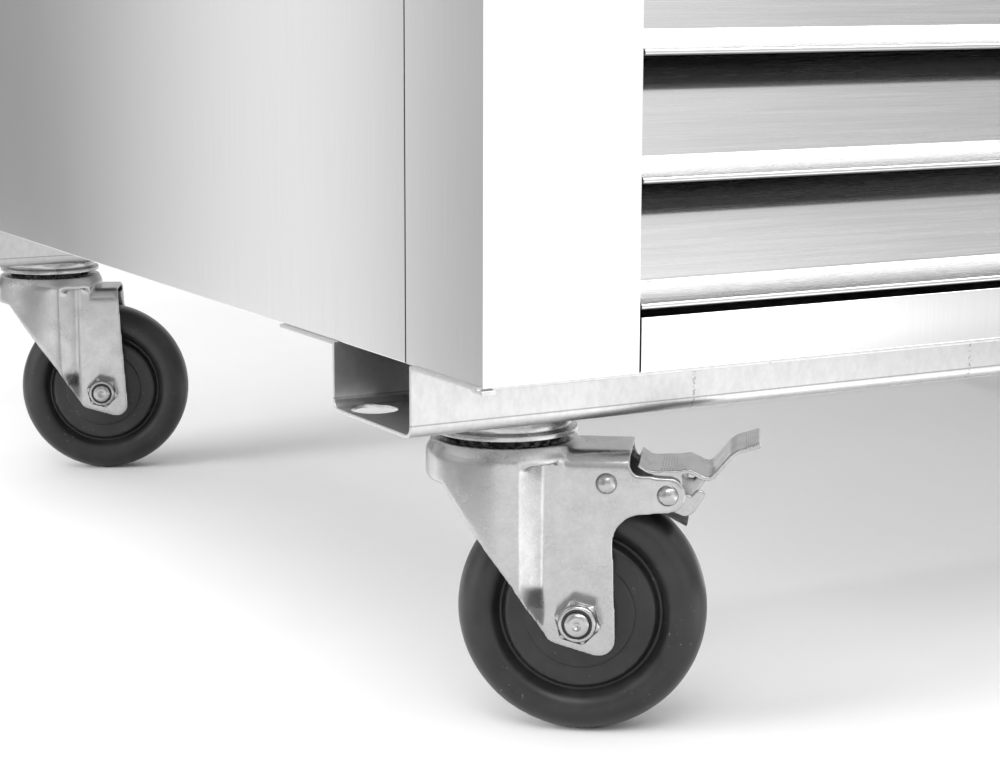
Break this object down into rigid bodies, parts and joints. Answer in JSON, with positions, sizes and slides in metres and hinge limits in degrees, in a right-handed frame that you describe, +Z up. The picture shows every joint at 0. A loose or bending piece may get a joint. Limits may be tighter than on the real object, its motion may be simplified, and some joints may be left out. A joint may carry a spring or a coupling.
{
  "type": "rolling tool chest",
  "caption": "Stainless rolling tool chest: cabinet with full-width drawers on slides, hat-channel underframe and swivel casters, the front ones with brake pedals.",
  "frame": {"origin": "on the floor, in the middle of the whole object's plan", "axes": "+Z up, +X to the right seen from the front, +Y from the drawer fronts to the back"},
  "size_m": [1.1414, 0.768, 0.8528],
  "materials": {
    "polished_stainless": "polished sheet with a faint vertical grain",
    "brushed_stainless": "fine horizontal brushed grain",
    "galvanised_steel": "hot-dip spangle, satin",
    "slide_steel": "bright zinc, rolled",
    "lock_metal": "satin chrome",
    "dark_plastic": "fine moulded grain",
    "bearing_steel": "oiled steel",
    "black_rubber": "hard moulded rubber with dust and scuffs",
    "brake_steel": "dark phosphate",
    "zinc_plate": "clear zinc plate on pressed steel"
  },
  "bodies": {
    "cabinet": {"left_side_panel": "polished_stainless", "right_side_panel": "polished_stainless", "left_corner_post": "polished_stainless", "right_corner_post": "polished_stainless", "back_panel": "galvanised_steel", "bottom_pan": "galvanised_steel", "top_panel": "polished_stainless", "top_rail": "polished_stainless", "bottom_rail": "polished_stainless", "front_channel": "galvanised_steel", "rear_channel": "galvanised_steel", "runner_uprights": "galvanised_steel", "fixed_rails": "slide_steel", "lock_barrel": "lock_metal", "push_handle": "polished_stainless", "handle_brackets": "dark_plastic", "caster_bolts": "zinc_plate", "caster_cups": "zinc_plate", "ball_races": "bearing_steel", "kingpins": "zinc_plate"},
    "lock": {"lock_plug": "lock_metal"},
    "drawer_1": {"drawer_1_front": "brushed_stainless", "drawer_1_tray": "galvanised_steel"},
    "slides_1": {"drawer_1_slides": "slide_steel"},
    "drawer_2": {"drawer_2_front": "brushed_stainless", "drawer_2_tray": "galvanised_steel"},
    "slides_2": {"drawer_2_slides": "slide_steel"},
    "drawer_3": {"drawer_3_front": "brushed_stainless", "drawer_3_tray": "galvanised_steel"},
    "slides_3": {"drawer_3_slides": "slide_steel"},
    "drawer_4": {"drawer_4_front": "brushed_stainless", "drawer_4_tray": "galvanised_steel"},
    "slides_4": {"drawer_4_slides": "slide_steel"},
    "drawer_5": {"drawer_5_front": "brushed_stainless", "drawer_5_tray": "galvanised_steel"},
    "slides_5": {"drawer_5_slides": "slide_steel"},
    "drawer_6": {"drawer_6_front": "brushed_stainless", "drawer_6_tray": "galvanised_steel"},
    "slides_6": {"drawer_6_slides": "slide_steel"},
    "drawer_7": {"drawer_7_front": "brushed_stainless", "drawer_7_tray": "galvanised_steel"},
    "slides_7": {"drawer_7_slides": "slide_steel"},
    "front_left_swivel": {"front_left_fork": "zinc_plate", "front_left_axle": "zinc_plate", "front_left_rivets": "zinc_plate"},
    "front_left_roller": {"front_left_wheel": "black_rubber"},
    "front_left_brake": {"front_left_pedal": "zinc_plate"},
    "front_left_brake_shoe": {"front_left_shoe": "brake_steel"},
    "front_right_swivel": {"front_right_fork": "zinc_plate", "front_right_axle": "zinc_plate", "front_right_rivets": "zinc_plate"},
    "front_right_roller": {"front_right_wheel": "black_rubber"},
    "front_right_brake": {"front_right_pedal": "zinc_plate"},
    "front_right_brake_shoe": {"front_right_shoe": "brake_steel"},
    "rear_left_swivel": {"rear_left_fork": "zinc_plate", "rear_left_axle": "zinc_plate"},
    "rear_left_roller": {"rear_left_wheel": "black_rubber"},
    "rear_right_swivel": {"rear_right_fork": "zinc_plate", "rear_right_axle": "zinc_plate"},
    "rear_right_roller": {"rear_right_wheel": "black_rubber"}
  },
  "joints": [
    {"name": "lock_turn", "type": "hinge", "parent": "cabinet", "child": "lock", "pos_m": [0.37825, -0.372, 0.80755], "axis": [0, 1, 0], "range_deg": [0, 90]},
    {"name": "drawer_1_pull", "type": "slide", "parent": "cabinet", "child": "drawer_1", "axis": [0, -1, 0], "range_m": [0, 0.6]},
    {"name": "slides_1_travel", "type": "slide", "parent": "cabinet", "child": "slides_1", "axis": [0, -1, 0], "range_m": [0, 0.3]},
    {"name": "drawer_2_pull", "type": "slide", "parent": "cabinet", "child": "drawer_2", "axis": [0, -1, 0], "range_m": [0, 0.6]},
    {"name": "slides_2_travel", "type": "slide", "parent": "cabinet", "child": "slides_2", "axis": [0, -1, 0], "range_m": [0, 0.3]},
    {"name": "drawer_3_pull", "type": "slide", "parent": "cabinet", "child": "drawer_3", "axis": [0, -1, 0], "range_m": [0, 0.6]},
    {"name": "slides_3_travel", "type": "slide", "parent": "cabinet", "child": "slides_3", "axis": [0, -1, 0], "range_m": [0, 0.3]},
    {"name": "drawer_4_pull", "type": "slide", "parent": "cabinet", "child": "drawer_4", "axis": [0, -1, 0], "range_m": [0, 0.6]},
    {"name": "slides_4_travel", "type": "slide", "parent": "cabinet", "child": "slides_4", "axis": [0, -1, 0], "range_m": [0, 0.3]},
    {"name": "drawer_5_pull", "type": "slide", "parent": "cabinet", "child": "drawer_5", "axis": [0, -1, 0], "range_m": [0, 0.6]},
    {"name": "slides_5_travel", "type": "slide", "parent": "cabinet", "child": "slides_5", "axis": [0, -1, 0], "range_m": [0, 0.3]},
    {"name": "drawer_6_pull", "type": "slide", "parent": "cabinet", "child": "drawer_6", "axis": [0, -1, 0], "range_m": [0, 0.6]},
    {"name": "slides_6_travel", "type": "slide", "parent": "cabinet", "child": "slides_6", "axis": [0, -1, 0], "range_m": [0, 0.3]},
    {"name": "drawer_7_pull", "type": "slide", "parent": "cabinet", "child": "drawer_7", "axis": [0, -1, 0], "range_m": [0, 0.6]},
    {"name": "slides_7_travel", "type": "slide", "parent": "cabinet", "child": "slides_7", "axis": [0, -1, 0], "range_m": [0, 0.3]},
    {"name": "front_left_swivel", "type": "hinge", "parent": "cabinet", "child": "front_left_swivel", "pos_m": [-0.50005, -0.2841, 0.1], "axis": [0, 0, 1], "continuous": true},
    {"name": "front_left_roll", "type": "hinge", "parent": "front_left_swivel", "child": "front_left_roller", "pos_m": [-0.47398, -0.30283, 0.0508], "axis": [0.5835, 0.8121, 0], "continuous": true},
    {"name": "front_left_brake_press", "type": "hinge", "parent": "front_left_swivel", "child": "front_left_brake", "pos_m": [-0.44572, -0.32314, 0.1018], "axis": [0.5835, 0.8121, 0], "range_deg": [0, 18]},
    {"name": "front_left_shoe_press", "type": "slide", "parent": "front_left_swivel", "child": "front_left_brake_shoe", "axis": [-0.4773, 0.343, -0.809], "range_m": [0, 0.0012]},
    {"name": "front_right_swivel", "type": "hinge", "parent": "cabinet", "child": "front_right_swivel", "pos_m": [0.44955, -0.2841, 0.1], "axis": [0, 0, 1], "continuous": true},
    {"name": "front_right_roll", "type": "hinge", "parent": "front_right_swivel", "child": "front_right_roller", "pos_m": [0.47562, -0.30283, 0.0508], "axis": [0.5835, 0.8121, 0], "continuous": true},
    {"name": "front_right_brake_press", "type": "hinge", "parent": "front_right_swivel", "child": "front_right_brake", "pos_m": [0.50388, -0.32314, 0.1018], "axis": [0.5835, 0.8121, 0], "range_deg": [0, 18]},
    {"name": "front_right_shoe_press", "type": "slide", "parent": "front_right_swivel", "child": "front_right_brake_shoe", "axis": [-0.4773, 0.343, -0.809], "range_m": [0, 0.0012]},
    {"name": "rear_left_swivel", "type": "hinge", "parent": "cabinet", "child": "rear_left_swivel", "pos_m": [-0.50005, 0.2841, 0.1], "axis": [0, 0, 1], "continuous": true},
    {"name": "rear_left_roll", "type": "hinge", "parent": "rear_left_swivel", "child": "rear_left_roller", "pos_m": [-0.47096, 0.27053, 0.0508], "axis": [0.4226, 0.9063, 0], "continuous": true},
    {"name": "rear_right_swivel", "type": "hinge", "parent": "cabinet", "child": "rear_right_swivel", "pos_m": [0.44955, 0.2841, 0.1], "axis": [0, 0, 1], "continuous": true},
    {"name": "rear_right_roll", "type": "hinge", "parent": "rear_right_swivel", "child": "rear_right_roller", "pos_m": [0.47864, 0.27053, 0.0508], "axis": [0.4226, 0.9063, 0], "continuous": true}
  ],
  "couplings": [
    {"joint": "slides_1_travel", "follows": "drawer_1_pull", "ratio": 0.5},
    {"joint": "slides_2_travel", "follows": "drawer_2_pull", "ratio": 0.5},
    {"joint": "slides_3_travel", "follows": "drawer_3_pull", "ratio": 0.5},
    {"joint": "slides_4_travel", "follows": "drawer_4_pull", "ratio": 0.5},
    {"joint": "slides_5_travel", "follows": "drawer_5_pull", "ratio": 0.5},
    {"joint": "slides_6_travel", "follows": "drawer_6_pull", "ratio": 0.5},
    {"joint": "slides_7_travel", "follows": "drawer_7_pull", "ratio": 0.5},
    {"joint": "front_left_shoe_press", "follows": "front_left_brake_press", "m_per_rad": 0.0038197},
    {"joint": "front_right_shoe_press", "follows": "front_right_brake_press", "m_per_rad": 0.0038197}
  ]
}
